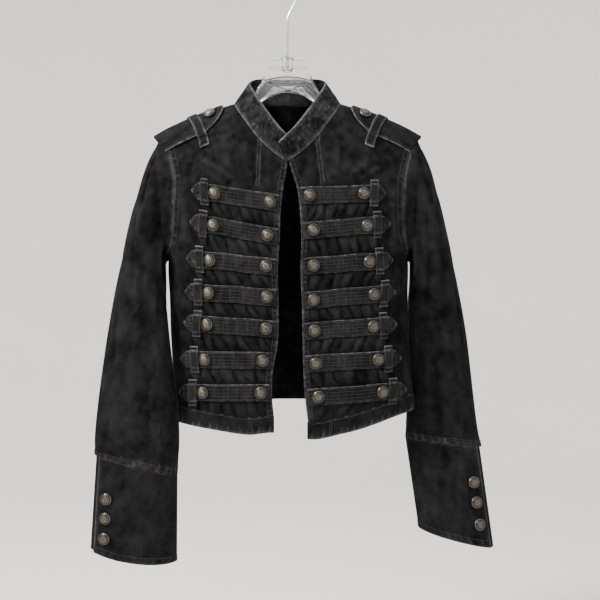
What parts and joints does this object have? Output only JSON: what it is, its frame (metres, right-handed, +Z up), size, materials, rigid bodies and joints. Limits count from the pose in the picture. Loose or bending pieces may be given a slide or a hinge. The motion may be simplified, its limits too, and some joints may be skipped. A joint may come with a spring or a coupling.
{
  "type": "denim jacket on a hanger",
  "caption": "Cropped military-cut denim jacket with stand collar, buttoned strap rows, epaulettes and deep cuffs, hanging open on a clear hanger with a wire hook.",
  "frame": {"origin": "the hook's seat, the inside of the top of the wire hook, where a rail carries the hanger", "axes": "+Z up, -Y out of the front of the jacket, +X towards the wearer's left sleeve"},
  "size_m": [0.6218, 0.1226, 0.9052],
  "materials": {
    "denim": "washed black denim, puckered",
    "denim_trim": "washed black denim, topstitched",
    "button_metal": "antique silver",
    "hanger_plastic": "clear plastic with a wire hook"
  },
  "bodies": {
    "root": {"back": "denim", "button_left_1_inner": "button_metal", "button_left_1_outer": "button_metal", "button_left_2_inner": "button_metal", "button_left_2_outer": "button_metal", "button_left_3_inner": "button_metal", "button_left_3_outer": "button_metal", "button_left_4_inner": "button_metal", "button_left_4_outer": "button_metal", "button_left_5_inner": "button_metal", "button_left_5_outer": "button_metal", "button_left_6_inner": "button_metal", "button_left_6_outer": "button_metal", "button_left_7_inner": "button_metal", "button_left_7_outer": "button_metal", "button_right_1_inner": "button_metal", "button_right_1_outer": "button_metal", "button_right_2_inner": "button_metal", "button_right_2_outer": "button_metal", "button_right_3_inner": "button_metal", "button_right_3_outer": "button_metal", "button_right_4_inner": "button_metal", "button_right_4_outer": "button_metal", "button_right_5_inner": "button_metal", "button_right_5_outer": "button_metal", "button_right_6_inner": "button_metal", "button_right_6_outer": "button_metal", "button_right_7_inner": "button_metal", "button_right_7_outer": "button_metal", "collar": "denim_trim", "cuff_button_left_1": "button_metal", "cuff_button_left_2": "button_metal", "cuff_button_left_3": "button_metal", "cuff_button_right_1": "button_metal", "cuff_button_right_2": "button_metal", "cuff_button_right_3": "button_metal", "cuff_left": "denim_trim", "cuff_right": "denim_trim", "epaulette_left": "denim_trim", "epaulette_right": "denim_trim", "front_left": "denim", "front_right": "denim", "hanger": "hanger_plastic", "hem_band": "denim_trim", "sleeve_left": "denim", "sleeve_right": "denim", "strap_left_1": "denim_trim", "strap_left_2": "denim_trim", "strap_left_3": "denim_trim", "strap_left_4": "denim_trim", "strap_left_5": "denim_trim", "strap_left_6": "denim_trim", "strap_left_7": "denim_trim", "strap_right_1": "denim_trim", "strap_right_2": "denim_trim", "strap_right_3": "denim_trim", "strap_right_4": "denim_trim", "strap_right_5": "denim_trim", "strap_right_6": "denim_trim", "strap_right_7": "denim_trim"}
  },
  "joints": []
}
